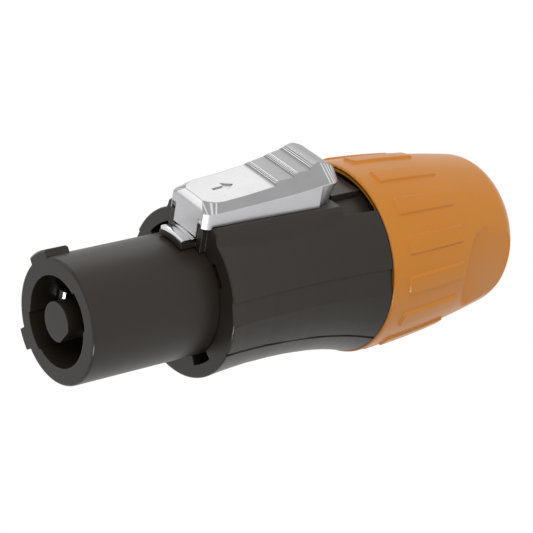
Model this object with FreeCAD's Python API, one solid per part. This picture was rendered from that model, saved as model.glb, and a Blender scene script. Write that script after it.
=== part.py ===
import FreeCAD, Part
import math
import os

from FreeCAD import Vector

# Twist-lock cable plug. Millimetres. +X runs along the plug's axis from the nose to the cable,
# +Z goes up through the thumb latch, and x = 0 is the nose's front face.
# An angle is counted about the axis from +Z towards +Y.

# Clearances shared by several fits
SLIDE_GAP = 0.05
RUNNING_GAP = 0.08
LOOSE_GAP = 0.1

# Nose barrel. The nose's radius leads every other radius through the walls and gaps below.
NOSE_R = 10.0
NOSE_WALL = 2.77
NOSE_EDGE = 0.4
CAVITY_R = NOSE_R - NOSE_WALL
CAVITY_DEPTH = 15.0
PIN_R = 3.16
PIN_FLAT_DEPTH = 0.36
PIN_FLAT_ANGLE = -122.5
RECESS_DEPTH = 0.42
RECESS_SPANS = ((106.0, 153.6), (-73.7, -26.0))
LUG_LENGTH = 4.2
LUG_EDGE = 0.3
# Each lug: angle, height over the nose, width
LUGS = ((40.6, 1.05, 4.65), (133.3, 1.2, 3.4))

# Shell, along the axis
SHELL_FRONT = 23.3
FRONT_WALL = 4.7
SHELL_LENGTH = 30.6
NECK_LENGTH = 2.6
THREAD_LENGTH = 8.0
FLARE_REAR = SHELL_FRONT + SHELL_LENGTH
NECK_REAR = FLARE_REAR + NECK_LENGTH
SHELL_REAR = NECK_REAR + THREAD_LENGTH

# Terminal chambers behind the nose
BODY_STEP = 1.6
BODY_LENGTH = 16.0
BODY_R = NOSE_R + BODY_STEP
BODY_FRONT = SHELL_FRONT + FRONT_WALL
BODY_REAR = BODY_FRONT + BODY_LENGTH
CONTACT_FRONT = 4.95
CONTACT_HEAD = 1.6
CONTACT_WIDTH = 1.6
CONTACT_THICK = 0.6
CONTACT_EDGE = 0.35
CONTACT_ANGLES = (("line", 88.0), ("neutral", -32.0), ("earth", -152.0))
CLAMP_ROOF = 1.4
CLAMP_WALL = 0.9
CLAMP_WIDTH = 5.3
CLAMP_HEIGHT = 6.0
CLAMP_LENGTH = 8.9
CLAMP_HIGH = BODY_R - 1.2
CLAMP_LOW = CLAMP_HIGH - CLAMP_HEIGHT
CLAMP_REAR = BODY_REAR - LOOSE_GAP
CLAMP_FRONT = CLAMP_REAR - CLAMP_LENGTH
TAIL_R = CLAMP_LOW + CLAMP_WALL
TAIL_END = CLAMP_REAR - 0.9
JOG_REAR = CLAMP_FRONT - 3.5
JOG_FRONT = JOG_REAR - 3.0
SCREW_X = CLAMP_FRONT + 4.0
SCREW_R = 1.45
SCREW_REACH = 3.1
SCREW_HEAD_R = 2.25
SCREW_HEAD = 0.95
SCREW_SLOT = 0.6
RETAINER_THICK = 2.5
RETAINER_REAR = BODY_REAR + RETAINER_THICK
WIRE_HOLE_R = 1.8

# Shell, across the axis
BORE_GAP = 0.05
SHELL_BORE = BODY_R + BORE_GAP
SHELL_FRONT_BORE = NOSE_R + LOOSE_GAP
SHELL_EDGE = 0.3
# Shell's outside: distance behind its front, wall over the bore
ROUND = (
    (0.0, 2.1),
    (2.7, 1.85),
    (5.7, 1.68),
    (8.3, 1.56),
    (13.2, 1.57),
    (16.5, 1.7),
    (19.2, 1.91),
    (21.7, 2.15),
    (24.1, 2.49),
    (26.0, 2.83),
    (27.7, 3.21),
    (28.9, 3.53),
    (30.6, 4.0),
)
THREAD_WALL = 1.85
NECK_STEP = 0.3
THREAD_R = SHELL_BORE + THREAD_WALL
NECK_R = THREAD_R + NECK_STEP
POCKET_R = NECK_R
# Each bore notch: start angle, end angle, depth
NOTCHES = ((29.5, 57.8, 1.35), (121.0, 145.0, 1.3), (-150.0, -127.0, 1.5), (-58.9, -37.8, 1.05))
RAIL_RISE = 2.35
RAIL_TOP = SHELL_BORE + RAIL_RISE
RAIL_LENGTH = 24.3
RAIL_REAR = SHELL_FRONT + RAIL_LENGTH
RAIL_ANGLE = 37.0
# Rail at its front and rear: half width of the flat top, and the chamfer's corner (half width, drop)
RAIL_TOP_HALF = (5.7, 6.7)
RAIL_CORNER_HALF = (6.45, 7.3)
RAIL_CORNER_DROP = (0.6, 0.55)
PANEL_ANGLE = 69.3
PANEL_END_ANGLE = 86.0
PANEL_DEPTH = 0.45
# Side groove: distance behind the shell's front, angle
GROOVE_PATH = ((-0.3, 107.8), (9.3, 111.6), (20.0, 115.8), (25.6, 118.3), (30.65, 120.5))
GROOVE_WIDTH = 0.55
GROOVE_DEPTH = 0.25
POCKET_ANGLES = (30.0, 35.0)
KEY_WIDTH = 3.0
KEY_HEIGHT = 0.75
KEY_R = SHELL_BORE + KEY_HEIGHT

# Latch slide and its guides in the shell
TRAVEL = 3.4
LATCH_OVERHANG = 1.3
LATCH_FRONT = SHELL_FRONT - LATCH_OVERHANG
LATCH_BOTTOM = RAIL_TOP + SLIDE_GAP
SKIRT_DROP = 0.43
SKIRT_LENGTH = 1.6
SKIRT_LOW = LATCH_BOTTOM - SKIRT_DROP
TONGUE_THICK = 1.2
TONGUE_HALF = 2.85
SLOT_FLOOR_R = NOSE_R + 1.0
SLOT_REAR = BODY_FRONT
SHROUD_LENGTH = 3.8
SHROUD_FRONT = SHELL_FRONT - SHROUD_LENGTH
SHROUD_R = NOSE_R + 0.25
CHEEK_FRONT = SHELL_FRONT - 1.0
CHEEK_HALF = 4.1
CHEEK_TOP = SKIRT_LOW - SLIDE_GAP
RELIEF_HALF = 5.15
RELIEF_REAR = LATCH_FRONT + SKIRT_LENGTH + TRAVEL + 0.3
FOOT_FRONT = SLOT_REAR + 1.0
FOOT_LENGTH = 5.0
FOOT_REAR = FOOT_FRONT + FOOT_LENGTH
FOOT_HALF = 2.4
FLANGE_HALF = 3.6
FLANGE_THICK = 0.7
RAIL_LIP = 0.8
FLANGE_HIGH = RAIL_TOP - RAIL_LIP - SLIDE_GAP
FLANGE_LOW = FLANGE_HIGH - FLANGE_THICK
# Latch sections: distance behind its front, half width, skirt's drop, how far the skirt's foot
# is drawn in, bevel's low edge, top half width, top; heights are over the latch's bottom
LATCH = (
    (0.0, 3.97, 1, 0, 2.15, 3.24, 2.22),
    (0.45, 4.5, 1, 0, 2.15, 2.75, 2.88),
    (0.9, 4.8, 1, 0, 2.15, 2.23, 3.45),
    (1.6, 4.98, 1, 0, 2.15, 3.2, 3.48),
    (1.61, 4.98, 0, 0, 2.15, 3.2, 3.48),
    (3.0, 5.06, 0, 0, 2.2, 4.05, 3.51),
    (8.6, 5.2, 0, 0, 2.5, 4.1, 3.88),
    (13.6, 5.45, 0, 0, 2.9, 4.05, 4.43),
    (14.3, 5.5, 0, 0, 2.95, 3.95, 5.05),
    (16.9, 5.63, 0, 0, 3.2, 3.95, 5.25),
    (17.2, 5.64, 0, 0, 3.23, 3.95, 5.25),
    (17.8, 5.68, 0, 0, 3.3, 3.9, 5.85),
    (20.0, 5.78, 0, 0, 3.6, 3.9, 6.0),
    (20.4, 5.8, 0, 0, 3.65, 3.9, 6.05),
    (21.2, 5.83, 0, 0, 3.75, 3.85, 6.9),
    (21.9, 5.86, 0, 0, 3.85, 3.85, 6.97),
    (23.1, 5.9, 0, 0.62, 4.0, 3.8, 6.67),
    (24.5, 5.3, 0, 0.8, 3.7, 3.5, 6.25),
    (25.5, 4.8, 0, 1.1, 3.45, 3.1, 5.65),
    (26.3, 4.2, 0, 1.2, 3.25, 2.6, 4.95),
)
HOLLOW_REAR = LATCH_FRONT + 24.9
HOLLOW_HALF = 3.9
HOLLOW_HEIGHT = 1.75
SPRING_BAY_HALF = 2.1
SPRING_BAY_HEIGHT = 3.35
RECESS_HEIGHT = 0.85
PLATE_FRONT = SHROUD_FRONT + 0.1
PLATE_REAR = LATCH_FRONT + 2.0
PLATE_THICK = 0.55
PLATE_R = SLOT_FLOOR_R + 0.13 + PLATE_THICK
PLATE_HALF = 2.8
TAB_HALF = 2.0
TAB_TOP = LATCH_BOTTOM + 1.35
TAB_THICK = 0.7

# Spring, its guide and the keeper
KEEPER_FRONT = RAIL_REAR + 0.35
KEEPER_REAR = FLARE_REAR - SLIDE_GAP
KEEPER_RISE = 0.4
KEEPER_TOP = RAIL_TOP + KEEPER_RISE
KEEPER_HEAD_HALF = HOLLOW_HALF - LOOSE_GAP
KEEPER_HEAD_THICK = 1.05
SEAT_THICK = 1.2
SEAT_REAR = HOLLOW_REAR - 1.2
SEAT_FRONT = SEAT_REAR - SEAT_THICK
SEAT_HALF = 1.8
ARM_THICK = 0.65
SPRING_Z = LATCH_BOTTOM + 1.65
SPRING_R = 1.35
SPRING_WIRE_R = 0.22
SPRING_TURNS = 7
GUIDE_R = 0.75
GUIDE_FRONT = FOOT_REAR + TRAVEL + 0.6

# Chuck
CHUCK_SPACE = 3.5
CHUCK_FRONT = RETAINER_REAR + CHUCK_SPACE
CHUCK_R = SHELL_BORE - RUNNING_GAP
CHUCK_BORE = 6.5
JAW_FRONT = SHELL_REAR + 1.0
JAW_FRONT_R = CHUCK_R - 0.17
JAW_LENGTH = 13.0
JAW_REAR = JAW_FRONT + JAW_LENGTH
JAW_TIP = 1.7
JAW_REAR_R = CHUCK_BORE + JAW_TIP
JAW_COUNT = 6
JAW_GAP = 1.4
TOOTH_PITCH = 3.6
TOOTH_HEIGHT = 0.5
TOOTH_COUNT = 3

# Bushing
LIP_FRONT = FLARE_REAR + LOOSE_GAP
LIP_BORE = NECK_R + 1.0
LIP_WALL = 1.15
LIP_R = LIP_BORE + LIP_WALL
LIP_DEPTH = 3.0
LIP_EDGE = 0.5
TAPER = 0.0321
CURVE = 0.0027
BARREL_LENGTH = 27.36
END_R = 4.18
END_LEAN = 0.7
CABLE_R = CHUCK_BORE + 0.25
CABLE_CHAMFER = 0.8
RIB_COUNT = 15
RIB_FIRST = -58.4
RIB_START = 3.5
RIB_LENGTH = 12.9
# Rib's flank from the foot up: half width, rise over the bushing's outside
RIB_SIDE = ((2.05, -0.2), (1.5, 0.08), (1.25, 0.4))
RIB_END = (0.25, 0.3)
FLAT_Y = 11.8
FLAT_START = 17.0
FLAT_CUTTER_R = 11.05
FLAT_BLEND = 1.6

ORIGIN = Vector(0, 0, 0)
AXIS = Vector(1, 0, 0)
UP = Vector(0, 0, 1)
FAR = 3 * NOSE_R


def polar(x, angle, radius):
    """A point at a station, an angle and a radius."""
    turn = math.radians(angle)
    return Vector(x, radius * math.sin(turn), radius * math.cos(turn))


def shell_round(x):
    """Radius of the shell's outside at a station."""
    behind = x - SHELL_FRONT
    for (x0, wall0), (x1, wall1) in zip(ROUND, ROUND[1:]):
        if behind <= x1:
            return SHELL_BORE + wall0 + (wall1 - wall0) * (behind - x0) / (x1 - x0)
    return SHELL_BORE + ROUND[-1][1]


def bushing_round(x):
    """Radius of the bushing's outside at a station."""
    along = x - LIP_FRONT
    return LIP_R - TAPER * along - CURVE * along * along


def rounded(front, outside, size):
    """Corners of a quarter round between a front face and an outside, from the front."""
    corners = []
    for step in range(4):
        turn = math.radians(30 * step)
        corners.append((front + size * (1 - math.cos(turn)), outside - size * (1 - math.sin(turn))))
    return corners


def turned(corners):
    """A solid of revolution about the axis from (station, radius) corners."""
    points = [Vector(x, 0, radius) for x, radius in corners]
    face = Part.Face(Part.makePolygon(points + points[:1]))
    return face.revolve(ORIGIN, AXIS, 360)


def rod(x0, x1, radius):
    """A plain cylinder on the axis."""
    return Part.makeCylinder(radius, x1 - x0, Vector(x0, 0, 0), AXIS)


def upright(x, z0, z1, radius):
    """A plain cylinder that stands on the plug's middle plane."""
    return Part.makeCylinder(radius, z1 - z0, Vector(x, 0, z0), UP)


def block(x0, x1, half, z0, z1):
    """A box that is symmetric about the plug's middle plane."""
    return Part.makeBox(x1 - x0, 2 * half, z1 - z0, Vector(x0, -half, z0))


def swung(shape, angle):
    """A copy of a shape made at the top, turned to its angle."""
    copy = shape.copy()
    copy.rotate(ORIGIN, AXIS, -angle)
    return copy


def mirrored(shape):
    """The same shape on the other side of the middle plane."""
    return shape.mirror(ORIGIN, Vector(0, 1, 0))


def sector(x0, x1, start, end, radius):
    """A pie slice of a cylinder between two angles."""
    middle = (start + end) / 2
    corners = [Vector(x0, 0, 0), polar(x0, start, FAR), polar(x0, middle, FAR), polar(x0, end, FAR)]
    wedge = Part.Face(Part.makePolygon(corners + corners[:1])).extrude(Vector(x1 - x0, 0, 0))
    return wedge.common(rod(x0, x1, radius))


def skinned(sections):
    """A solid with straight sides through closed polygons that have the same count of corners."""
    wires = [Part.makePolygon(points + points[:1]) for points in sections]
    return Part.makeLoft(wires, True, True)


def prism(corners, half):
    """A prism across the middle plane from (station, height) corners."""
    points = [Vector(x, -half, z) for x, z in corners]
    face = Part.Face(Part.makePolygon(points + points[:1]))
    return face.extrude(Vector(0, 2 * half, 0))


def raised_bar(stations, side, edge):
    """A bar at the top that stands on a round outside, with sloped flanks and ends.

    stations: (station, radius of the outside) along the bar; side: (half width, rise over the
    outside) from the foot up; edge: (run, drop) of the slope at both ends.
    """
    height = side[-1][1]
    run, drop = edge
    first_x, first_base = stations[0]
    last_x, last_base = stations[-1]
    band = [(first_x, first_base - height), (first_x, first_base + height - drop)]
    band.append((first_x + run, first_base + height))
    band += [(x, base + height) for x, base in stations[1:-1]]
    band += [(last_x - run, last_base + height), (last_x, last_base + height - drop)]
    band.append((last_x, last_base - height))
    slices = []
    for (x0, base0), (x1, base1) in zip(stations, stations[1:]):
        right = [Vector(x0, side[0][0], base0 - 2 * height)]
        right += [Vector(x0, half, base0 + rise) for half, rise in side]
        right.append(Vector(x0, side[-1][0], base0 + 3 * height))
        outline = right + [Vector(p.x, -p.y, p.z) for p in reversed(right)]
        face = Part.Face(Part.makePolygon(outline + outline[:1]))
        slices.append(face.extrude(Vector(x1 - x0, 0, base1 - base0)))
    bar = slices[0]
    for piece in slices[1:]:
        bar = bar.fuse(piece)
    return turned(band).common(bar)


def save(shape, node):
    """Write one node's solid."""
    solids = shape.removeSplitter().Solids
    if len(solids) != 1:
        raise ValueError(node + " is not one solid: " + str(len(solids)))
    solids[0].exportStep("parts/" + node + ".step")
    bounds = solids[0].BoundBox
    print(node, solids[0].isValid(), round(solids[0].Volume, 1), round(bounds.XMin, 2), round(bounds.XMax, 2))


def make_insert():
    """Nose barrel, lugs, centre pin and terminal chambers in one moulding."""
    corners = [(0, 0)] + rounded(0, NOSE_R, NOSE_EDGE)
    corners += [(BODY_FRONT, NOSE_R), (BODY_FRONT, BODY_R), (BODY_REAR, BODY_R), (BODY_REAR, 0)]
    body = turned(corners)
    for angle, height, width in LUGS:
        half = width / 2
        side = ((half, -height / 2), (half, height - LUG_EDGE), (half - LUG_EDGE, height))
        lug = raised_bar([(0, NOSE_R), (LUG_LENGTH, NOSE_R)], side, (LUG_EDGE, LUG_EDGE))
        body = body.fuse(swung(lug, angle))
    ring = rod(0, CAVITY_DEPTH, CAVITY_R).cut(rod(0, CAVITY_DEPTH, PIN_R))
    flat = block(0, CAVITY_DEPTH, PIN_R, PIN_R - PIN_FLAT_DEPTH, CAVITY_R)
    cavity = ring.fuse(swung(flat, PIN_FLAT_ANGLE).common(rod(0, CAVITY_DEPTH, CAVITY_R)))
    for start, end in RECESS_SPANS:
        recess = sector(0, CAVITY_DEPTH, start, end, CAVITY_R + RECESS_DEPTH)
        cavity = cavity.fuse(recess.cut(rod(0, CAVITY_DEPTH, PIN_R + 1)))
    body = body.cut(cavity)
    gap = SLIDE_GAP
    half = CONTACT_WIDTH / 2 + gap
    head_high = CAVITY_R
    head_low = head_high - CONTACT_HEAD - 2 * gap
    for name, angle in CONTACT_ANGLES:
        channel = block(CAVITY_DEPTH - 1, JOG_FRONT + 1, half, head_low, head_high)
        low = min(head_low, TAIL_R - gap)
        bend = block(JOG_FRONT - 1, CLAMP_FRONT, half, low, max(head_high, TAIL_R + CONTACT_THICK + gap))
        room = CLAMP_WIDTH / 2 + gap
        chamber = block(CLAMP_FRONT - gap, BODY_REAR, room, CLAMP_LOW - gap, CLAMP_HIGH + gap)
        access = upright(SCREW_X, CLAMP_LOW + 1, FAR, SCREW_HEAD_R + LOOSE_GAP)
        for cutter in (channel, bend, chamber, access):
            body = body.cut(swung(cutter, angle))
    return body


def make_contact(angle):
    """Contact bar in the nose cavity that steps down to a flat tail in its clamp."""
    high = CAVITY_R - SLIDE_GAP
    low = high - CONTACT_HEAD
    tail_high = TAIL_R + CONTACT_THICK
    edge = CONTACT_EDGE
    outline = [
        (CONTACT_FRONT, low + edge),
        (CONTACT_FRONT + edge, low),
        (JOG_FRONT, low),
        (JOG_REAR, TAIL_R),
        (TAIL_END, TAIL_R),
        (TAIL_END, tail_high),
        (JOG_REAR, tail_high),
        (JOG_FRONT, high),
        (CONTACT_FRONT + edge, high),
        (CONTACT_FRONT, high - edge),
    ]
    return swung(prism(outline, CONTACT_WIDTH / 2), angle)


def make_clamp(angle):
    """Clamp cage: a square tube with a threaded roof."""
    half = CLAMP_WIDTH / 2
    cage = block(CLAMP_FRONT, CLAMP_REAR, half, CLAMP_LOW, CLAMP_HIGH)
    window = block(CLAMP_FRONT, CLAMP_REAR, half - CLAMP_WALL, TAIL_R, CLAMP_HIGH - CLAMP_ROOF)
    hole = upright(SCREW_X, TAIL_R + 1, FAR, SCREW_R + SLIDE_GAP)
    return swung(cage.cut(window).cut(hole), angle)


def make_screw(angle):
    """Clamp screw with a slotted head on the cage's roof."""
    top = CLAMP_HIGH + SCREW_HEAD
    screw = upright(SCREW_X, CLAMP_HIGH - SCREW_REACH, CLAMP_HIGH, SCREW_R)
    screw = screw.fuse(upright(SCREW_X, CLAMP_HIGH, top, SCREW_HEAD_R))
    slot = block(SCREW_X - SCREW_HEAD_R, SCREW_X + SCREW_HEAD_R, SCREW_SLOT / 2, top - SCREW_HEAD / 2, top)
    return swung(screw.cut(slot), angle)


def make_retainer():
    """Disc over the chambers, with a wire hole behind each clamp."""
    disc = rod(BODY_REAR, RETAINER_REAR, BODY_R)
    middle = (TAIL_R + CONTACT_THICK + CLAMP_HIGH - CLAMP_ROOF) / 2
    for name, angle in CONTACT_ANGLES:
        hole = rod(BODY_REAR, RETAINER_REAR, WIRE_HOLE_R)
        hole.translate(Vector(0, 0, middle))
        disc = disc.cut(swung(hole, angle))
    return disc


def rail_section(x, inset):
    """Closed outline of the rail at a station, with its hollow flanks, drawn in by an inset."""
    share = (x - SHELL_FRONT) / RAIL_LENGTH
    top = RAIL_TOP_HALF[0] + share * (RAIL_TOP_HALF[1] - RAIL_TOP_HALF[0]) - inset / 2
    corner = RAIL_CORNER_HALF[0] + share * (RAIL_CORNER_HALF[1] - RAIL_CORNER_HALF[0]) - inset
    drop = RAIL_CORNER_DROP[0] + share * (RAIL_CORNER_DROP[1] - RAIL_CORNER_DROP[0])
    foot = polar(x, RAIL_ANGLE, shell_round(x) - inset)
    right = [Vector(x, top, RAIL_TOP - inset)]
    corner_z = RAIL_TOP - drop - inset / 2
    for across, down in ((0.0, 0.0), (0.06, 0.3), (0.2, 0.56), (0.43, 0.78), (0.7, 0.91), (1.0, 1.0)):
        y = corner + (foot.y - corner) * across
        z = corner_z + (foot.z - corner_z) * down
        right.append(Vector(x, y, z))
    right.append(Vector(x, foot.y - FRONT_WALL / 2, foot.z - RAIL_RISE))
    left = [Vector(x, -p.y, p.z) for p in reversed(right)]
    return right + left


def side_strip(path, inner, angles):
    """Cutter under the shell's outside: inner depths and angles of its two edges along a path."""
    sections = []
    for x, shift in path:
        radius = shell_round(x)
        start, end = angles(radius, shift)
        sections.append(
            [
                polar(x, start, radius - inner[0]),
                polar(x, start, radius + 1),
                polar(x, end, radius + 1),
                polar(x, end, radius - inner[1]),
            ]
        )
    return skinned(sections)


def make_shell():
    """Housing: turned body, latch rail, bore with notches, panels and the thread end."""
    corners = [(SHELL_FRONT, 0)]
    corners += rounded(SHELL_FRONT, SHELL_BORE + ROUND[0][1], SHELL_EDGE)
    corners += [(SHELL_FRONT + behind, SHELL_BORE + wall) for behind, wall in ROUND[1:]]
    corners += [(FLARE_REAR, NECK_R), (NECK_REAR, NECK_R), (NECK_REAR, THREAD_R)]
    corners += [(SHELL_REAR - 0.6, THREAD_R), (SHELL_REAR, THREAD_R - 0.6), (SHELL_REAR, 0)]
    body = turned(corners)
    stations = [(SHELL_FRONT, SHELL_EDGE), (SHELL_FRONT + 0.13 * SHELL_EDGE, SHELL_EDGE / 2)]
    stations += [(SHELL_FRONT + SHELL_EDGE, 0)]
    stations += [(SHELL_FRONT + behind, 0) for behind, wall in ROUND[1:] if behind < RAIL_LENGTH]
    stations += [(RAIL_REAR, 0)]
    body = body.fuse(skinned([rail_section(x, inset) for x, inset in stations]))
    pocket_sections = []
    for x, angle in ((RAIL_REAR, POCKET_ANGLES[0]), (FLARE_REAR + 1, POCKET_ANGLES[1])):
        side = polar(x, angle, FAR)
        pocket_sections.append([Vector(x, 0, 1), side, polar(x, 0, FAR), Vector(x, -side.y, side.z)])
    body = body.cut(skinned(pocket_sections).cut(rod(RAIL_REAR, FLARE_REAR + 1, POCKET_R)))
    panel_path = [(SHELL_FRONT - 0.3, 0)] + [(SHELL_FRONT + behind, 0) for behind, wall in ROUND[1:-1]]
    panel_path += [(FLARE_REAR + 0.05, 0)]
    panel = side_strip(panel_path, (PANEL_DEPTH, 0), lambda radius, shift: (PANEL_ANGLE, PANEL_END_ANGLE))

    def groove_edges(radius, middle):
        spread = math.degrees(GROOVE_WIDTH / 2 / radius)
        return middle - spread, middle + spread

    groove_path = [(SHELL_FRONT + behind, angle) for behind, angle in GROOVE_PATH]
    groove = side_strip(groove_path, (GROOVE_DEPTH, GROOVE_DEPTH), groove_edges)
    for cutter in (panel, mirrored(panel), groove, mirrored(groove)):
        body = body.cut(cutter)
    shroud = block(SHROUD_FRONT, SHELL_FRONT + 1, TONGUE_HALF, 0, FAR)
    shroud = shroud.common(rod(SHROUD_FRONT, SHELL_FRONT + 1, SLOT_FLOOR_R))
    cheeks = block(CHEEK_FRONT, SHELL_FRONT + 1, CHEEK_HALF, 0, CHEEK_TOP)
    front_pieces = shroud.fuse(cheeks).cut(rod(SHROUD_FRONT, SHELL_FRONT, SHROUD_R))
    body = body.fuse(front_pieces.common(block(SHROUD_FRONT, SHELL_FRONT + 1, FAR, 0, FAR)))
    body = body.cut(rod(SHELL_FRONT, SHELL_REAR, SHELL_FRONT_BORE))
    body = body.cut(rod(BODY_FRONT, SHELL_REAR, SHELL_BORE))
    for start, end, depth in NOTCHES:
        body = body.cut(sector(SHELL_FRONT, BODY_FRONT, start, end, SHELL_FRONT_BORE + depth))
    gap = SLIDE_GAP
    slot = block(SHROUD_FRONT, SLOT_REAR, TONGUE_HALF + 2 * gap, 0, FAR).cut(rod(0, SHELL_REAR, SLOT_FLOOR_R))
    relief = block(CHEEK_FRONT, RELIEF_REAR, RELIEF_HALF, SKIRT_LOW - gap, FAR)
    floor = FLANGE_LOW - gap
    neck_slot = block(FOOT_FRONT - gap, KEEPER_REAR + gap, FOOT_HALF + gap, floor, FAR)
    tee = block(FOOT_FRONT - gap, KEEPER_REAR + gap, FLANGE_HALF + gap, floor, FLANGE_HIGH + gap)
    well = block(KEEPER_FRONT - gap, KEEPER_REAR + gap, FLANGE_HALF + gap, floor, FAR)
    for cutter in (slot, relief, neck_slot, tee, well):
        body = body.cut(cutter)
    for angle in (90, -90):
        half = KEY_WIDTH / 2 + gap
        groove = block(CHUCK_FRONT - 1, SHELL_REAR, half, SHELL_BORE - 1, KEY_R + LOOSE_GAP)
        body = body.cut(swung(groove, angle))
    return body


def make_latch():
    """Die-cast thumb slide: bevelled body, three ridges, tongue, guide foot and hollow."""
    sections = []
    for behind, skirt, drop, tuck, bevel, top, height in LATCH:
        x = LATCH_FRONT + behind
        low = LATCH_BOTTOM - SKIRT_DROP * drop
        edge = LATCH_BOTTOM + bevel
        crown = LATCH_BOTTOM + height
        right = [Vector(x, skirt - tuck, low), Vector(x, skirt, edge), Vector(x, top, crown)]
        sections.append(right + [Vector(x, -p.y, p.z) for p in reversed(right)])
    body = skinned(sections)
    inner_front = LATCH_FRONT + TONGUE_THICK
    hollow_top = LATCH_BOTTOM + HOLLOW_HEIGHT
    body = body.cut(block(inner_front, FOOT_FRONT, HOLLOW_HALF - 0.4, SKIRT_LOW - 1, hollow_top))
    body = body.cut(block(FOOT_REAR, HOLLOW_REAR, HOLLOW_HALF, SKIRT_LOW, hollow_top))
    bay_top = LATCH_BOTTOM + SPRING_BAY_HEIGHT
    body = body.cut(block(FOOT_REAR, HOLLOW_REAR, SPRING_BAY_HALF, SKIRT_LOW, bay_top))
    rear = LATCH_FRONT + LATCH[-1][0]
    for half, high in ((KEEPER_HEAD_HALF, KEEPER_TOP), (SEAT_HALF, LATCH_BOTTOM + ARM_THICK)):
        body = body.cut(block(HOLLOW_REAR, rear + 1, half + LOOSE_GAP, SKIRT_LOW, high + LOOSE_GAP))
    tongue = block(LATCH_FRONT, inner_front, TONGUE_HALF, NOSE_R, LATCH_BOTTOM + 1)
    tongue = tongue.cut(rod(0, FOOT_FRONT, PLATE_R + SLIDE_GAP))
    foot = block(FOOT_FRONT, FOOT_REAR, FOOT_HALF, FLANGE_LOW, LATCH_BOTTOM + 1)
    flange = block(FOOT_FRONT, FOOT_REAR, FLANGE_HALF, FLANGE_LOW, FLANGE_HIGH)
    body = body.fuse(tongue).fuse(foot).fuse(flange)
    width = LATCH[0][1] - TONGUE_HALF - 3 * SLIDE_GAP
    recess = block(LATCH_FRONT - 1, LATCH_FRONT + 0.6, width / 2, SKIRT_LOW - 1, LATCH_BOTTOM + RECESS_HEIGHT)
    recess.translate(Vector(0, TONGUE_HALF + width / 2, 0))
    return body.cut(recess).cut(mirrored(recess))


def make_lock_plate():
    """Curved steel plate on the nose side of the latch's tongue, with an upturned tab."""
    strip = block(PLATE_FRONT, PLATE_REAR, PLATE_HALF, 0, FAR).common(rod(PLATE_FRONT, PLATE_REAR, PLATE_R))
    strip = strip.cut(rod(0, PLATE_REAR, PLATE_R - PLATE_THICK))
    tab_front = LATCH_FRONT + TONGUE_THICK + SLIDE_GAP
    tab = block(tab_front, tab_front + TAB_THICK, TAB_HALF, PLATE_R - 0.8 * PLATE_THICK, TAB_TOP)
    return strip.fuse(tab)


def make_spring():
    """Coil spring between the latch's foot and the keeper's seat, of wire with six flats."""
    steps = 12
    start = FOOT_REAR + 1.3 * SPRING_WIRE_R
    length = SEAT_FRONT - FOOT_REAR - 2.6 * SPRING_WIRE_R
    sections = []
    for step in range(SPRING_TURNS * steps + 1):
        turn = 2 * math.pi * step / steps
        outward = Vector(0, math.cos(turn), math.sin(turn))
        middle = Vector(start + length * step / (SPRING_TURNS * steps), 0, SPRING_Z) + outward * SPRING_R
        corners = []
        for corner in range(6):
            part = math.pi / 3 * corner
            corners.append(middle + (outward * math.cos(part) + AXIS * math.sin(part)) * SPRING_WIRE_R)
        sections.append(corners)
    return skinned(sections)


def make_spring_guide():
    """Steel rod staked into the keeper's seat, inside the spring."""
    return Part.makeCylinder(GUIDE_R, SEAT_REAR - GUIDE_FRONT, Vector(GUIDE_FRONT, 0, SPRING_Z), AXIS)


def make_keeper():
    """Key that fills the assembly well, with an arm and the spring's seat."""
    body = block(KEEPER_FRONT, KEEPER_REAR, FLANGE_HALF, FLANGE_LOW, KEEPER_TOP)
    head_low = KEEPER_TOP - KEEPER_HEAD_THICK
    body = body.fuse(block(KEEPER_FRONT, KEEPER_REAR, KEEPER_HEAD_HALF, head_low, KEEPER_TOP))
    arm = block(SEAT_FRONT, KEEPER_FRONT + 1, SEAT_HALF, LATCH_BOTTOM, LATCH_BOTTOM + ARM_THICK)
    seat = block(SEAT_FRONT, SEAT_REAR, SEAT_HALF, LATCH_BOTTOM, LATCH_BOTTOM + SPRING_BAY_HEIGHT - 0.3)
    body = body.fuse(arm).fuse(seat)
    return body.cut(make_spring_guide())


def make_chuck():
    """Strain-relief collet: keyed ring and slotted cone jaws with teeth in the bore."""
    corners = [(CHUCK_FRONT, CHUCK_BORE), (CHUCK_FRONT, CHUCK_R), (SHELL_REAR, CHUCK_R)]
    corners += [(JAW_FRONT, JAW_FRONT_R), (JAW_REAR, JAW_REAR_R), (JAW_REAR, CHUCK_BORE)]
    for tooth in range(TOOTH_COUNT):
        x = JAW_REAR - (tooth + 1) * TOOTH_PITCH
        corners += [(x + TOOTH_PITCH * 0.75, CHUCK_BORE - TOOTH_HEIGHT), (x, CHUCK_BORE)]
    body = turned(corners)
    for angle in (90, -90):
        key = block(CHUCK_FRONT, SHELL_REAR, KEY_WIDTH / 2, CHUCK_R - 1, KEY_R)
        body = body.fuse(swung(key, angle))
    for jaw in range(JAW_COUNT):
        slot = block(JAW_FRONT + 1, JAW_REAR, JAW_GAP / 2, 0, FAR)
        body = body.cut(swung(slot, 360.0 / JAW_COUNT * (jaw + 0.5)))
    return body


def make_rib():
    """One rib at the top: a low bar with hollow flanks that follows the bushing's outside."""
    stations = []
    for step in range(3):
        x = LIP_FRONT + RIB_START + RIB_LENGTH * step / 2
        stations.append((x, bushing_round(x)))
    return raised_bar(stations, RIB_SIDE, RIB_END)


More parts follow.
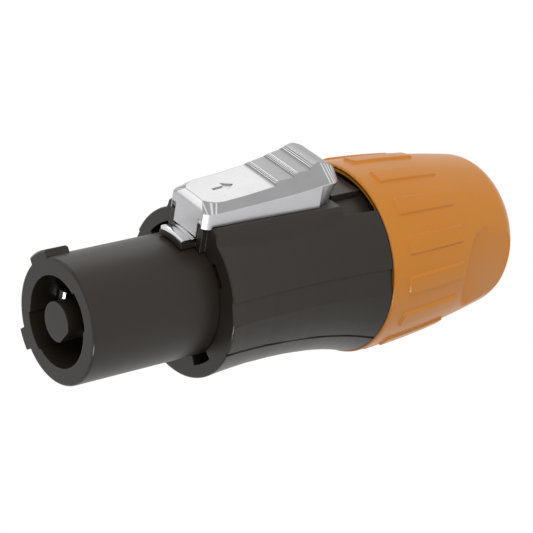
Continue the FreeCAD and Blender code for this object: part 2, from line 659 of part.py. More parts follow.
def make_bushing():
    """Ribbed cable bushing with two wrench flats, a thread bore and the jaws' cone."""
    barrel_rear = LIP_FRONT + BARREL_LENGTH
    centre_x = barrel_rear - END_LEAN
    centre_r = bushing_round(barrel_rear) - math.sqrt(END_R * END_R - END_LEAN * END_LEAN)
    rear = centre_x + END_R
    corners = [(LIP_FRONT, 0)] + rounded(LIP_FRONT, LIP_R, LIP_EDGE)
    for step in range(1, 8):
        x = LIP_FRONT + BARREL_LENGTH * step / 7
        corners.append((x, bushing_round(x)))
    lean = math.asin(END_LEAN / END_R)
    for step in range(1, 9):
        turn = lean + (math.pi / 2 - lean) * step / 8
        corners.append((centre_x + END_R * math.sin(turn), centre_r + END_R * math.cos(turn)))
    corners.append((rear, 0))
    body = turned(corners)
    rib = make_rib()
    for count in range(RIB_COUNT):
        body = body.fuse(swung(rib, RIB_FIRST + 360.0 / RIB_COUNT * count))
    flat_middle = LIP_FRONT + FLAT_START + FLAT_CUTTER_R
    edge = [(across, out) for out, across in rounded(0, FLAT_CUTTER_R, FLAT_BLEND)]
    side = [(0, 0)] + edge + [(FLAT_CUTTER_R, FAR), (0, FAR)]
    points = [Vector(flat_middle + across, FLAT_Y + out, 0) for across, out in side]
    face = Part.Face(Part.makePolygon(points + points[:1]))
    cutter = face.revolve(Vector(flat_middle, 0, 0), Vector(0, 1, 0), 360)
    body = body.cut(cutter).cut(mirrored(cutter))
    seat = RUNNING_GAP
    hollow = turned(
        [
            (LIP_FRONT - 1, 0),
            (LIP_FRONT - 1, LIP_BORE + 1.2),
            (LIP_FRONT + 0.2, LIP_BORE),
            (LIP_FRONT + LIP_DEPTH, LIP_BORE),
            (LIP_FRONT + LIP_DEPTH + 0.6, THREAD_R + seat),
            (SHELL_REAR + 0.4, THREAD_R + seat),
            (JAW_FRONT, JAW_FRONT_R + seat),
            (JAW_REAR, JAW_REAR_R + seat),
            (JAW_REAR + 0.5, JAW_REAR_R + seat),
            (JAW_REAR + 0.5, CABLE_R),
            (rear - CABLE_CHAMFER, CABLE_R),
            (rear + 1, CABLE_R + CABLE_CHAMFER + 1),
            (rear + 1, 0),
        ]
    )
    return body.cut(hollow)


os.makedirs("parts", exist_ok=True)
save(make_insert(), "insert")
for contact_name, contact_angle in CONTACT_ANGLES:
    save(make_contact(contact_angle), "contact_" + contact_name)
    save(make_clamp(contact_angle), "clamp_" + contact_name)
    save(make_screw(contact_angle), "screw_" + contact_name)
save(make_retainer(), "retainer")
save(make_shell(), "shell")
save(make_latch(), "latch")
save(make_lock_plate(), "lock_plate")
save(make_spring(), "latch_spring")
save(make_spring_guide(), "spring_guide")
save(make_keeper(), "latch_keeper")
save(make_chuck(), "chuck")
save(make_bushing(), "bushing")
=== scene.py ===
import math
import bpy
import bmesh
from mathutils import Matrix, Vector


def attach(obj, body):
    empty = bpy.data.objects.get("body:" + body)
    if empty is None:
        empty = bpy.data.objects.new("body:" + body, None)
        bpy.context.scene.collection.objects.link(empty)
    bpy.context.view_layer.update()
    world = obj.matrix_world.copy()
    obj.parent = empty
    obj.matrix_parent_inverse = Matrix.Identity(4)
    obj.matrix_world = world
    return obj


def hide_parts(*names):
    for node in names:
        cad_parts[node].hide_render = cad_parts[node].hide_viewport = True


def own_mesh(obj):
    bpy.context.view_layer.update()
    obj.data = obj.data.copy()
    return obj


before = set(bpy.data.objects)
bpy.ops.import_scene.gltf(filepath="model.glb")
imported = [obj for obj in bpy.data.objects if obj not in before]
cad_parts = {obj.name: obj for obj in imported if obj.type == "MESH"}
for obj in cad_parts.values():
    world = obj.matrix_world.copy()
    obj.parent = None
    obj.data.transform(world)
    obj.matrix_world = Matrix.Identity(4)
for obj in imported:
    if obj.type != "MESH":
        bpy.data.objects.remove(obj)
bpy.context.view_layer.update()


# The camera stands before the plug's nose, above it and to its left, as the photographer's did.
# The plug lies slightly rolled in the picture, so the camera's own matrix carries that roll.
def placed(name, data):
    """A new object in the scene, round a camera, a lamp or a mesh."""
    made = bpy.data.objects.new(name, data)
    bpy.context.collection.objects.link(made)
    return made


eye = Vector((-0.175686, -0.237666, 0.169960))
right = Vector((0.78260, -0.60403, 0.15060)).normalized()
forward = Vector((0.59521, 0.65516, -0.46529)).normalized()
up = right.cross(forward)
camera_data = bpy.data.cameras.new("camera")
camera_data.sensor_width = 36.0
camera_data.lens = 152.17
camera_data.clip_start = 0.01
camera_data.clip_end = 20.0
camera = placed("camera", camera_data)
camera.matrix_world = Matrix((
    (right.x, up.x, -forward.x, eye.x),
    (right.y, up.y, -forward.y, eye.y),
    (right.z, up.z, -forward.z, eye.z),
    (0, 0, 0, 1)))
bpy.context.scene.camera = camera
bpy.context.scene.view_settings.view_transform = "Standard"


# The plug is held in the air by its nose, over a pale paper floor in a white studio.
# Camera, mirrors and glass see the paper and the room as plain white; the rest of the light is soft.
class Tone:
    """A value, colour or vector of a material's tree that takes part in plain sums."""

    def __init__(self, tree, socket=None):
        self.tree = tree
        self.socket = socket

    def node(self, kind, settings=None, values=None, out=0):
        """Add any node: its settings come first, then the values or links of its sockets."""
        made = self.tree.nodes.new(kind)
        for name, value in (settings or {}).items():
            setattr(made, name, value)
        for name, value in (values or {}).items():
            if isinstance(value, Tone):
                self.tree.links.new(value.socket, made.inputs[name])
            else:
                made.inputs[name].default_value = value
        return Tone(self.tree, made.outputs[out] if len(made.outputs) else None)

    def sum(self, operation, first, second):
        return self.node("ShaderNodeMath", {"operation": operation}, {0: first, 1: second})

    def __add__(self, other):
        return self.sum("ADD", self, other)

    __radd__ = __add__

    def __sub__(self, other):
        return self.sum("SUBTRACT", self, other)

    def __rsub__(self, other):
        return self.sum("SUBTRACT", other, self)

    def __mul__(self, other):
        return self.sum("MULTIPLY", self, other)

    __rmul__ = __mul__

    def __abs__(self):
        return self.node("ShaderNodeMath", {"operation": "ABSOLUTE"}, {0: self})

    def most(self, other):
        return self.sum("MAXIMUM", self, other)

    def least(self, other):
        return self.sum("MINIMUM", self, other)


def end_white(plain, white, end):
    """Close a tree: camera, glossy and transmission rays see the white, all others the plain surface."""
    rays = [plain.node("ShaderNodeLightPath", out=ray)
            for ray in ("Is Camera Ray", "Is Glossy Ray", "Is Transmission Ray")]
    seen = rays[0].most(rays[1]).most(rays[2])
    plain.node(end, {}, {"Surface": plain.node("ShaderNodeMixShader", {}, {0: seen, 1: plain, 2: white})})


reach = 3.0
drop = -0.30
floor_mesh = bpy.data.meshes.new("floor")
floor_mesh.from_pydata(
    [(-reach, -reach, drop), (reach, -reach, drop), (reach, reach, drop), (-reach, reach, drop)],
    [], [(0, 1, 2, 3)])
floor = placed("floor", floor_mesh)
paper = bpy.data.materials.new("white_paper")
paper.use_nodes = True
paper.node_tree.nodes.clear()
bare = Tone(paper.node_tree)
pulp = bare.node("ShaderNodeBsdfDiffuse", {}, {"Color": (0.86, 0.86, 0.86, 1)})
glow = bare.node("ShaderNodeEmission", {}, {"Color": (1, 1, 1, 1), "Strength": 1.0})
end_white(pulp, glow, "ShaderNodeOutputMaterial")
floor_mesh.materials.append(paper)

studio = bpy.data.worlds.new("studio")
bpy.context.scene.world = studio
studio.use_nodes = True
studio.node_tree.nodes.clear()
bare = Tone(studio.node_tree)
soft = bare.node("ShaderNodeBackground", {}, {"Color": (1, 1, 1, 1), "Strength": 0.45})
white = bare.node("ShaderNodeBackground", {}, {"Color": (1, 1, 1, 1), "Strength": 1.0})
end_white(soft, white, "ShaderNodeOutputWorld")

# Four round lamps that the camera doesn't see, as name, place, width and power. The key, over the
# nose, has no mirror image. The edge lamp, low before the nose, gives mirror images alone, for the
# moulded edges. The latch's top and its front bevel mirror the two lamps behind.
middle = Vector((0.045, 0, 0))
for name, place, width, power in (
        ("key", (-0.30, -0.55, 1.05), 0.9, 7.0),
        ("edge", (-0.34, -0.33, -0.24), 0.14, 0.6),
        ("top", (0.55, 0.70, 0.62), 0.5, 0.5),
        ("bevel", (-0.50, 0.65, 0.53), 0.4, 0.45)):
    lamp_data = bpy.data.lights.new(name, "AREA")
    lamp_data.shape = "DISK"
    lamp_data.size = width
    lamp_data.energy = power
    lamp = placed(name, lamp_data)
    lamp.location = place
    lamp.rotation_euler = (middle - Vector(place)).to_track_quat("-Z", "Y").to_euler()
    lamp.visible_camera = False
    lamp.visible_glossy = name != "key"
    lamp.visible_diffuse = name != "edge"


# Nose insert: one glass-filled moulding in warm black, with lugs, a centre pin and a deep cavity.
# It leaves the mould with a fine satin grain, and its thin edges are burnished by the socket.
def open_finish(name):
    """A new material with its bare tree and its shader."""
    made = bpy.data.materials.new(name)
    made.use_nodes = True
    return made, Tone(made.node_tree), made.node_tree.nodes["Principled BSDF"]


def feed(shader, tone, name):
    """Link a tone to one socket of a shader."""
    tone.tree.links.new(tone.socket, shader.inputs[name])


def blend(bare, share, first, second):
    """A colour between two, by a share that varies over the surface."""
    return bare.node("ShaderNodeMix", {"data_type": "RGBA"}, {0: share, 6: first, 7: second}, 2)


def relief(bare, under, height, distance, strength=1.0):
    """A surface with a fine relief over it."""
    return bare.node("ShaderNodeBump", {}, {
        "Strength": strength, "Distance": distance, "Height": height, "Normal": under})


def moulded(name, dark, light, roughness, edge, grain=0.10, pitch=None):
    """Satin moulding with slow flow shades, fine grain and rounded edges.

    The edges that lie aslant to the plug's axis are burnished. With a pitch, the moulding also
    carries a screw thread round the axis.
    """
    made, bare, shader = open_finish(name)
    shader.inputs["Specular IOR Level"].default_value = 0.35
    place = bare.node("ShaderNodeTexCoord", out="Object")
    flow = bare.node("ShaderNodeTexNoise", {}, {"Vector": place, "Scale": 120.0, "Detail": 3.0})
    pores = bare.node("ShaderNodeTexNoise", {}, {"Vector": place, "Scale": 7000.0, "Detail": 2.0})
    feed(shader, blend(bare, flow, dark, light), "Base Color")
    surface = bare.node("ShaderNodeBevel", {"samples": 6}, {"Radius": edge})
    least_slant, most_slant, burnished_roughness = 0.38, 0.96, 0.16
    first_slope, last_slope = 8.0, 12.0
    slant = abs(bare.node("ShaderNodeSeparateXYZ", {}, {"Vector": surface}))
    past_least = ((slant - least_slant) * first_slope).most(0.0).least(1.0)
    before_most = ((most_slant - slant) * last_slope).most(0.0).least(1.0)
    satin = roughness - 0.05 + flow * 0.06 + pores * 0.04
    feed(shader, satin - past_least * before_most * (roughness - burnished_roughness), "Roughness")
    if pitch:
        x, y, z = [bare.node("ShaderNodeSeparateXYZ", {}, {"Vector": place}, out) for out in range(3)]
        coil = bare.node("ShaderNodeMath", {"operation": "SINE"}, {
            0: x * (2 * math.pi / pitch) + y.sum("ARCTAN2", y, z)})
        surface = relief(bare, surface, coil, 0.0003)
    feed(shader, relief(bare, surface, pores, 0.00003, grain), "Normal")
    return made


def clad(mesh, material):
    """Give a mesh one finish."""
    mesh.materials.clear()
    mesh.materials.append(material)


warm_black = ((0.019, 0.0145, 0.0105, 1), (0.023, 0.0178, 0.0132, 1))
black_nose = moulded("black_nose", *warm_black, roughness=0.40, edge=0.00018)
clad(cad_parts["insert"].data, black_nose)


# Contacts: three silver-plated bars that stand in grooves of the barrel's wall.
# Each is blanked from strip, and its tail runs back into a clamp.
def plated(name, colour, roughness, edge, scratch):
    """Bright metal with fine drawn lines along the axis and rounded edges."""
    made, bare, shader = open_finish(name)
    place = bare.node("ShaderNodeTexCoord", out="Object")
    stretched = bare.node("ShaderNodeMapping", {}, {"Vector": place, "Scale": (0.05, 1.0, 1.0)})
    lines = bare.node("ShaderNodeTexNoise", {}, {"Vector": stretched, "Scale": 5000.0, "Detail": 3.0})
    cloud = bare.node("ShaderNodeTexNoise", {}, {"Vector": place, "Scale": 300.0, "Detail": 2.0})
    duller = tuple(channel * 0.86 for channel in colour[:3]) + (1,)
    feed(shader, blend(bare, cloud, duller, colour), "Base Color")
    shader.inputs["Metallic"].default_value = 1.0
    feed(shader, roughness - 0.04 + cloud * 0.05 + lines * 0.05, "Roughness")
    surface = bare.node("ShaderNodeBevel", {"samples": 6}, {"Radius": edge})
    feed(shader, relief(bare, surface, lines, 0.00001, scratch), "Normal")
    return made


silver_plate = plated("silver_plate", (0.55, 0.54, 0.51, 1), roughness=0.22, edge=0.0001, scratch=0.2)
for pole in ("line", "neutral", "earth"):
    clad(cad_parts["contact_" + pole].data, silver_plate)

# Clamps: square brass tubes with a tapped roof, and a zinc-plated slotted screw in each.
# They sit in the chambers behind the nose and grip the stripped wires.
bare_brass = plated("bare_brass", (0.66, 0.47, 0.20, 1), roughness=0.30, edge=0.0001, scratch=0.3)
zinc_plate = plated("zinc_plate", (0.62, 0.62, 0.60, 1), roughness=0.32, edge=0.0001, scratch=0.3)
for pole in ("line", "neutral", "earth"):
    clad(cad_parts["clamp_" + pole].data, bare_brass)
    clad(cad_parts["screw_" + pole].data, zinc_plate)

# Retainer: a black disc with three wire holes that closes the chambers.
# It is pressed into the shell's bore behind the insert.
black_inside = moulded("black_inside", (0.020, 0.018, 0.016, 1), (0.026, 0.023, 0.021, 1),
                       roughness=0.5, edge=0.0001)
clad(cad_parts["retainer"].data, black_inside)

# Shell: the black housing that a hand holds, with the latch's rail on top and a thread behind.
# One moulding in the nose's own black, slightly glossier where fingers polish it.
black_shell = moulded("black_shell", *warm_black, roughness=0.37, edge=0.00018)
black_thread = moulded("black_thread", *warm_black, roughness=0.37, edge=0.0001, pitch=0.002)
thread_span = (0.0566, 0.0644)
thread_radii = (0.0131, 0.0136)
shell_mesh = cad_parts["shell"].data
clad(shell_mesh, black_shell)
shell_mesh.materials.append(black_thread)
for polygon in shell_mesh.polygons:
    x, y, z = polygon.center
    on_span = thread_span[0] < x < thread_span[1]
    if on_span and thread_radii[0] < math.hypot(y, z) < thread_radii[1]:
        polygon.material_index = 1

# Latch keeper: a black key that fills the well behind the latch and carries the spring's seat.
# It slides into the rail's slot when the latch and its spring are in.
clad(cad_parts["latch_keeper"].data, black_shell)

# The steps' stripes of shade and highlight and the corners' bright stripes are painted into the colour.
# Latch: a zinc die casting, nickel plated and satin blasted, with three thumb ridges.
# Its ridges are planed in fine steps, its corners run round, and a plain arrow is sunk into its top.
# The sizes are in mm. Most tables count from the latch's front, and heights from its underside.
latch_front = 22.0
latch_low = 14.05
skirt_depth = 0.43
skirt_length = 1.6
latch_rows = (
    # Place, half width, height of the bevel's foot, height of the crown
    (0.0, 3.97, 2.15, 2.22),
    (0.45, 4.5, 2.15, 2.88),
    (0.9, 4.8, 2.15, 3.45),
    (1.6, 4.98, 2.15, 3.48),
    (3.0, 5.06, 2.2, 3.51),
    (8.6, 5.2, 2.5, 3.88),
    (13.5, 5.45, 2.9, 4.42),
    (13.75, 5.46, 2.92, 4.78),
    (14.1, 5.48, 2.94, 5.0),
    (14.5, 5.5, 2.95, 5.06),
    (17.0, 5.64, 3.2, 5.25),
    (17.25, 5.65, 3.23, 5.56),
    (17.65, 5.67, 3.28, 5.8),
    (18.1, 5.69, 3.33, 5.87),
    (20.2, 5.78, 3.6, 6.0),
    (20.5, 5.8, 3.65, 6.42),
    (21.0, 5.83, 3.72, 6.74),
    (21.5, 5.85, 3.8, 6.9),
    (22.1, 5.86, 3.87, 6.97),
    (23.1, 5.9, 4.0, 6.75),
    (24.4, 5.8, 3.9, 6.25),
    (25.3, 5.1, 3.55, 5.65),
    (26.3, 4.2, 3.25, 4.95))
# How far the bevel leans in for each mm that it climbs
bevel_lean = ((0.0, 2.2), (0.45, 2.0), (0.9, 1.9), (1.6, 1.34), (3.0, 0.8), (13.5, 0.9),
              (22.1, 0.72), (26.3, 0.94))
# How far the bevel's top lies behind its foot
bevel_shift = ((0.0, 0.0), (0.45, 0.25), (0.9, 0.6), (1.6, 0.75), (3.0, 0.4), (4.5, 0.0),
               (21.0, 0.0), (23.0, -1.0), (24.5, -1.2), (26.3, 0.0))
# Each ridge's rise: start, end and number of planed steps
rises = ((13.55, 14.35, 3), (17.05, 18.1, 4), (20.25, 22.0, 6))
step_depth = 0.012
# Where the rounded corners carry a painted highlight
painted_highlight_corners = ((0.4, 0.55), (0.95, 1.25), (1.61, 1.9),
                  (23.3, 23.6), (24.0, 24.3), (24.6, 24.8), (25.1, 25.3))
latch_length = latch_rows[-1][0]
half_width, bevel_foot, crown_height = 1, 2, 3  # columns of the rows above
corner_spread = 0.35
crown_spread = 0.07
tail_start = 21.9
tail_length = 3.6
tail_tuck = 1.2
edge_rounding = 0.1
rounding_steps = 4


def read_rows(rows, place, column):
    """One column of a table, between its rows."""
    for low, high in zip(rows, rows[1:]):
        if place <= high[0]:
            return low[column] + (high[column] - low[column]) * (place - low[0]) / (high[0] - low[0])
    return rows[-1][column]


def latch_size(behind, column, spread):
    """One size of the latch's section, with the table's corners rounded over a spread."""
    shares = (-1.0, -0.5, 0.0, 0.5, 1.0)
    places = [min(max(behind + spread * share, 0.0), latch_length) for share in shares]
    return sum(read_rows(latch_rows, place, column) for place in places) / len(shares)


def eased(corners, radius):
    """A path whose inner corners are rounded by short curves."""
    path = [corners[0]]
    for before, corner, after in zip(corners, corners[1:], corners[2:]):
        start = corner + (before - corner).normalized() * radius
        end = corner + (after - corner).normalized() * radius
        for step in range(rounding_steps + 1):
            share = step / rounding_steps
            path.append(start * (1 - share) ** 2 + corner * 2 * share * (1 - share) + end * share ** 2)
    return path + [corners[-1]]


def latch_ring(behind):
    """One section of the latch's outside, from the right foot over the top to the left foot."""
    near_end = min(behind, latch_length - behind)
    spread = min(corner_spread, near_end)
    wide = latch_size(behind, half_width, spread)
    edge = latch_size(behind, bevel_foot, spread)
    above = behind + read_rows(bevel_shift, behind, 1)
    crown = latch_size(above, crown_height, min(crown_spread, near_end))
    climb = crown - latch_size(above, bevel_foot, spread)
    top = latch_size(above, half_width, spread) - climb * read_rows(bevel_lean, above, 1)
    for start, end, count in rises:
        if start < behind < end:
            crown += step_depth * math.sin(2 * math.pi * count * (behind - start) / (end - start))
    tuck = tail_tuck * min(max((behind - tail_start) / tail_length, 0.0), 1.0) ** 0.5
    low = -skirt_depth if behind < skirt_length else 0.0
    corners = [Vector((behind, wide - tuck, low)), Vector((behind, wide, edge)), Vector((above, top, crown))]
    corners += [Vector((corner.x, -corner.y, corner.z)) for corner in reversed(corners)]
    return [corner + Vector((latch_front, 0, latch_low)) for corner in eased(corners, edge_rounding)]


def closed_skin(rings, hollow=False):
    """A closed mesh through rings in mm that all have the same number of points.

    Each end gets a flat face. In a hollow piece, the last ring meets the first instead.
    """
    made = bmesh.new()
    loops = [[made.verts.new(point * 0.001) for point in ring] for ring in rings]
    for first, second in zip(loops, loops[1:] + loops[:1] if hollow else loops[1:]):
        for place in range(len(first)):
            after = (place + 1) % len(first)
            made.faces.new((first[place], first[after], second[after], second[place]))
    if not hollow:
        made.faces.new(list(reversed(loops[0])))
        made.faces.new(loops[-1])
    bmesh.ops.recalc_face_normals(made, faces=made.faces)
    mesh = bpy.data.meshes.new("skin")
    made.to_mesh(mesh)
    made.free()
    return mesh


def brick(low, high):
    """A box between two corners, in mm."""
    (x0, y0, z0), (x1, y1, z1) = low, high
    return closed_skin([[Vector((x, y0, z0)), Vector((x, y1, z0)), Vector((x, y1, z1)), Vector((x, y0, z1))]
                        for x in (x0, x1)])


def shaped(piece, steps):
    """Add or cut simple solids, one after the other, and keep the result as the piece's mesh."""
    tools = []
    for operation, mesh in steps:
        tool = placed("tool", mesh)
        change = piece.modifiers.new("change", "BOOLEAN")
        change.operation = operation
        change.solver = "EXACT"
        change.object = tool
        tools.append(tool)
    result = bpy.data.meshes.new_from_object(piece.evaluated_get(bpy.context.evaluated_depsgraph_get()))
    piece.modifiers.clear()
    piece.data = result
    for tool in tools:
        bpy.data.objects.remove(tool)


def smoothed(mesh, sharp=None):
    """Shade a mesh smooth, apart from edges where it turns by more than the sharp angle in degrees."""
    for polygon in mesh.polygons:
        polygon.use_smooth = True
    if sharp:
        mesh.set_sharp_from_angle(angle=math.radians(sharp))


# Sections lie close together round the front corner, along the rises and over the tail
plate_start, plate_pitch = 3.7, 0.6
step_parts, ridge_pitch = 6, 0.3
tail_front, tail_pitch = 22.2, 0.2
stations = {0.0, 0.15, 0.3, 0.45, 0.55, 0.5625, 0.6, 0.75, 0.9, latch_length}
stations.update((skirt_length - 0.01, skirt_length + 0.01))
stations.update(plate_start + plate_pitch * step for step in range(17))
stations.update(place for span in painted_highlight_corners for place in span)
for start, end, count in rises:
    parts = step_parts * count
    stations.update(start + (end - start) * step / parts for step in range(parts + 1))
    stations.update(end + ridge_pitch * step for step in range(1, 8))
stations.update(tail_front + tail_pitch * step for step in range(21))
stations = sorted(behind for behind in stations if behind <= latch_length)
rings = [latch_ring(behind) for behind in stations]
latch = placed("thumb_latch", closed_skin(rings))
side_nickel = plated("side_nickel", (0.58, 0.58, 0.59, 1), roughness=0.36, edge=0.00004, scratch=0.15)
plate_nickel = plated("plate_nickel", (0.53, 0.53, 0.53, 1), roughness=0.26, edge=0.00004, scratch=0.10)
# Painted shade: the bevels, treads and crown take a darker copy of the sides' nickel
shaded_nickel = plated("shaded_nickel", (0.38, 0.38, 0.385, 1), roughness=0.42, edge=0.00004, scratch=0.15)
# Painted highlight: a lighter copy of the nickel for the lit stripes of the steps, the corners and the
# sides' tail
painted_highlight = plated("painted_highlight", (0.74, 0.74, 0.74, 1), roughness=0.22, edge=0.00001, scratch=0.05)
# Painted shade: a dark copy of the nickel for the shaded stripes of the planed steps
painted_shade_step = plated("painted_shade_step", (0.20, 0.20, 0.205, 1), roughness=0.30, edge=0.00001, scratch=0.05)
finishes = [side_nickel, plate_nickel, shaded_nickel, painted_highlight, painted_shade_step]
for finish in finishes:
    latch.data.materials.append(finish)
# Strips of faces along the latch, counted round a section from the right foot
side_strips = (0, 20)
bevel_strips = (5, 15)
crown_strip = 10
top_strips = range(6, 15)
plate_end = 13.5
# Behind this place the sides carry the painted highlight
painted_highlight_tail = 24.5
for index, (low, high) in enumerate(zip(stations, stations[1:])):
    centre = (low + high) / 2
    strip_finish = {place: painted_highlight if centre > painted_highlight_tail else side_nickel for place in side_strips}
    on_corner = any(start <= centre <= end for start, end in painted_highlight_corners)
    strip_finish.update({place: painted_highlight if on_corner else shaded_nickel for place in bevel_strips})
    strip_finish.update({place: shaded_nickel for place in top_strips})
    if centre < plate_end:
        strip_finish[crown_strip] = plate_nickel
    for start, end, count in rises:
        if start < centre < end:
            turn = count * (centre - start) / (end - start)
            # Over each rise the planed steps alternate between painted shade and painted highlight
            painted_step_light = painted_shade_step if turn % 1 < 0.5 or turn < 0.8 else painted_highlight
            strip_finish.update({place: painted_step_light for place in top_strips})
    for place, finish in strip_finish.items():
        latch.data.polygons[index * len(rings[0]) + place].material_index = finishes.index(finish)
# Front, rear, half width, low and high of the boxes that are cut from the inside and then added
inside = (
    ("DIFFERENCE", 23.2, 29.0, 3.5, 13.0, 15.8),    # room behind the front wall
    ("DIFFERENCE", 34.0, 46.9, 3.9, 13.0, 15.8),    # room behind the foot
    ("DIFFERENCE", 34.0, 46.9, 2.1, 13.0, 17.4),    # channel for the spring
    ("DIFFERENCE", 46.9, 49.0, 3.9, 13.0, 14.85),   # notch that passes over the keeper
    ("UNION", 22.0, 23.2, 2.85, 11.74, 15.0),       # tongue down to the lock plate
    ("UNION", 29.0, 34.0, 2.4, 12.45, 15.0),        # the foot's stem in the rail's slot
    ("UNION", 29.0, 34.0, 3.6, 12.45, 13.15))       # the foot's T under the rail
steps = [(operation, brick((front, -half, low), (rear, half, high)))
         for operation, front, rear, half, low, high in inside]
# The front wall has a notch on each side of the tongue
notch_rear, notch_inner, notch_outer, notch_top = 22.6, 2.85, 3.82, 14.9
steps += [
    ("DIFFERENCE", brick((21.0, side * notch_outer, 12.0), (notch_rear, side * notch_inner, notch_top)))
    for side in (-1, 1)]
# The arrow's outline, as the place behind the front and the distance from the middle
arrow = ((4.4, -0.3), (6.6, -0.3), (6.6, -1.2), (8.4, 0.0), (6.6, 1.2), (6.6, 0.3), (4.4, 0.3))
arrow_depth = 0.25
over_crown = 1.0
arrow_rings = []
for rise in (-arrow_depth, over_crown):
    heights = [latch_low + read_rows(latch_rows, behind, crown_height) + rise for behind, across in arrow]
    arrow_rings.append([Vector((latch_front + behind, across, height))
                        for (behind, across), height in zip(arrow, heights)])
shaped(latch, steps + [("DIFFERENCE", closed_skin(arrow_rings))])
smoothed(latch.data, sharp=38)
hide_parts("latch")
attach(latch, "latch")

# Lock plate: a bright steel strip, folded double, that rides on the nose under the latch's tongue.
# Its upturned tab is caught behind the tongue, so it slides with the latch.
bright_steel = plated("bright_steel", (0.72, 0.72, 0.73, 1), roughness=0.16, edge=0.00003, scratch=0.2)
plate_half_width = 2.8
plate_top = 11.68
tab = ((23.25, -2.0, 11.2), (23.9, 2.0, 15.4))
# The folded strip in its length, as station and radius
plate_fold = (
    (19.6, 11.13), (23.9, 11.13), (23.9, 11.26), (19.9, 11.26), (19.9, 11.46), (23.9, 11.46),
    (23.9, plate_top), (21.9, plate_top), (21.75, 11.6), (21.3, 11.6), (21.15, plate_top),
    (19.8, plate_top), (19.65, 11.62), (19.6, 11.5))
plate_turn = math.asin(plate_half_width / plate_top)
plate_parts = 24
rings = []
for step in range(plate_parts + 1):
    turn = plate_turn * (step / (plate_parts / 2) - 1)
    rings.append([Vector((x, radius * math.sin(turn), radius * math.cos(turn))) for x, radius in plate_fold])
lock_plate = placed("lock_plate_strip", closed_skin(rings))
shaped(lock_plate, [("UNION", brick(*tab))])
smoothed(lock_plate.data, sharp=30)
clad(lock_plate.data, bright_steel)
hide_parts("lock_plate")
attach(lock_plate, "latch")

# Latch spring and its guide: drawn steel wire wound round a plain rod.
# They push the latch forward from the keeper's seat.
spring_steel = plated("spring_steel", (0.50, 0.50, 0.50, 1), roughness=0.28, edge=0.00005, scratch=0.2)
clad(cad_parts["spring_guide"].data, spring_steel)
coil_start = 34.3
coil_end = 44.2
coil_height = 15.7
coil_radius = 1.35
coil_turns = 7
turn_parts = 24
wire_radius = 0.22
wire_corners = 10
rings = []
for step in range(coil_turns * turn_parts + 1):
    turn = 2 * math.pi * step / turn_parts
    outward = Vector((0, math.cos(turn), math.sin(turn)))
    along = coil_start + (coil_end - coil_start) * step / (coil_turns * turn_parts)
    centre = Vector((along, 0, coil_height)) + outward * coil_radius
    rings.append([
        centre + outward * wire_radius * math.cos(part) + Vector((wire_radius * math.sin(part), 0, 0))
        for part in [2 * math.pi / wire_corners * corner for corner in range(wire_corners)]])
spring = placed("coil_spring", closed_skin(rings))
smoothed(spring.data)
clad(spring.data, spring_steel)
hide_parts("latch_spring")
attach(spring, "housing")
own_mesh(spring)

# Chuck: a dark grey collet with six slotted jaws that close on the cable.
# It is keyed to the shell, and the bushing's cone squeezes it.
grey_chuck = moulded("grey_chuck", (0.055, 0.055, 0.057, 1), (0.070, 0.070, 0.072, 1),
                     roughness=0.42, edge=0.0001)
clad(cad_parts["chuck"].data, grey_chuck)

# Bushing: the orange grip that screws onto the shell's thread and closes the chuck.
# A tough satin moulding with fifteen soft ribs, two wrench flats and a rolled lip.
satin_orange = moulded("satin_orange", (0.62, 0.22, 0.017, 1), (0.66, 0.24, 0.020, 1),
                       roughness=0.34, edge=0.0001, grain=0.06)
lip_front = 54.0
lip_radius = 15.95
lip_rounding = 0.5
barrel_rear = lip_front + 27.36
barrel_taper = 0.0321
barrel_crowning = 0.0027
end_radius = 4.18
end_lean = 0.7
cable_radius = 6.75
cable_chamfer = 0.8
rib_count = 15
rib_first = math.radians(-58.4)
rib_middle = lip_front + 9.95
rib_half = (6.45, 1.5)
rib_corner = 0.5
rib_rise = 0.4
rib_flank = 0.2


def barrel_radius(x):
    """Radius of the bushing's outside without its ribs."""
    along = x - lip_front
    return lip_radius - barrel_taper * along - barrel_crowning * along * along


def rib_height(x, across):
    """How far a rib stands out at a station and a distance from the rib's middle line."""
    beyond = [abs(x - rib_middle) - rib_half[0] + rib_corner, abs(across) - rib_half[1] + rib_corner]
    outside = math.hypot(max(beyond[0], 0), max(beyond[1], 0)) + min(max(beyond), 0) - rib_corner
    share = min(max(0.5 - outside / (2 * rib_flank), 0), 1)
    return rib_rise * share * share * (3 - 2 * share)


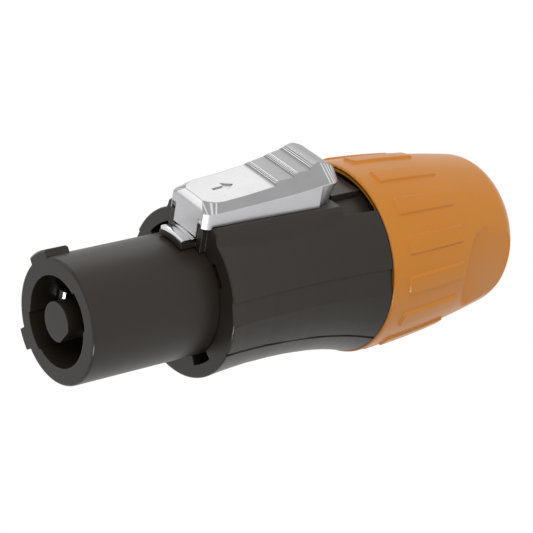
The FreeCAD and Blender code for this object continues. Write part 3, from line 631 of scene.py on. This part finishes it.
# The bushing's section as station and radius, from the rear hole over the outside to the lip
end_middle = barrel_rear - end_lean
end_height = barrel_radius(barrel_rear) - math.sqrt(end_radius ** 2 - end_lean ** 2)
bushing_rear = end_middle + end_radius
outside = []
for step in range(13):
    turn = math.pi / 2 - (math.pi / 2 - math.asin(end_lean / end_radius)) * step / 12
    outside.append((end_middle + end_radius * math.sin(turn), end_height + end_radius * math.cos(turn)))
places = {barrel_rear - 0.9 * step for step in range(1, 30)}
places.update(rib_middle + side * (rib_half[0] - 1 + 0.1 * step) for side in (-1, 1) for step in range(15))
places = sorted((x for x in places if x > lip_front + lip_rounding + 0.1), reverse=True)
outside += [(x, barrel_radius(x)) for x in places]
for step in range(7):
    turn = math.pi / 2 * step / 6
    outside.append((lip_front + lip_rounding - lip_rounding * math.sin(turn),
                    lip_radius - lip_rounding + lip_rounding * math.cos(turn)))
# Back through the lip's room for the shell, the thread, the cone for the chuck and the cable's hole
bore = [(lip_front, 15.8), (lip_front + 0.2, 14.8), (lip_front + 3.0, 14.8),
        (lip_front + 3.6, 13.58), (64.9, 13.58), (65.5, 11.48), (78.5, 8.28), (79.0, 8.28),
        (79.0, cable_radius), (bushing_rear - cable_chamfer, cable_radius),
        (bushing_rear, cable_radius + cable_chamfer)]
# The points round one rib, as distances from its middle line at the lip's radius
half_period = math.pi / rib_count * lip_radius
spread = [0.0, 0.6, 1.0, 1.15, 1.25, 1.35, 1.45, 1.55, 1.65, 1.75, 1.9, 2.3, 2.8]
spread = [-across for across in reversed(spread[1:])] + spread + [half_period]
rings = []
for index, (x, radius) in enumerate(outside + bore):
    ring = []
    for rib in range(rib_count):
        for across in spread:
            turn = rib_first + 2 * math.pi * rib / rib_count + across / lip_radius
            out = radius + (rib_height(x, across) if index < len(outside) else 0)
            ring.append(Vector((x, out * math.sin(turn), out * math.cos(turn))))
    rings.append(ring)
bushing = placed("cable_bushing", closed_skin(rings, hollow=True))
# Each wrench flat is cut by a round tool with a rolled rim that comes in from the side
flat_middle = lip_front + 28.05
flat_height = 11.8
flat_radius = 11.05
flat_corner = 1.6
flat_outside = 20.0
rim = []
for step in range(9):
    turn = math.pi / 2 * step / 8
    rim.append((flat_height + flat_corner * (1 - math.cos(turn)),
                flat_radius - flat_corner * (1 - math.sin(turn))))
rim.append((flat_outside, flat_radius))
turns = [math.pi * part / 60 for part in range(120)]
shaped(bushing, [
    ("DIFFERENCE", closed_skin([
        [Vector((flat_middle + wide * math.cos(turn), side * y, wide * math.sin(turn))) for turn in turns]
        for y, wide in rim]))
    for side in (-1, 1)])
smoothed(bushing.data, sharp=38)
clad(bushing.data, satin_orange)
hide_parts("bushing")
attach(bushing, "bushing")
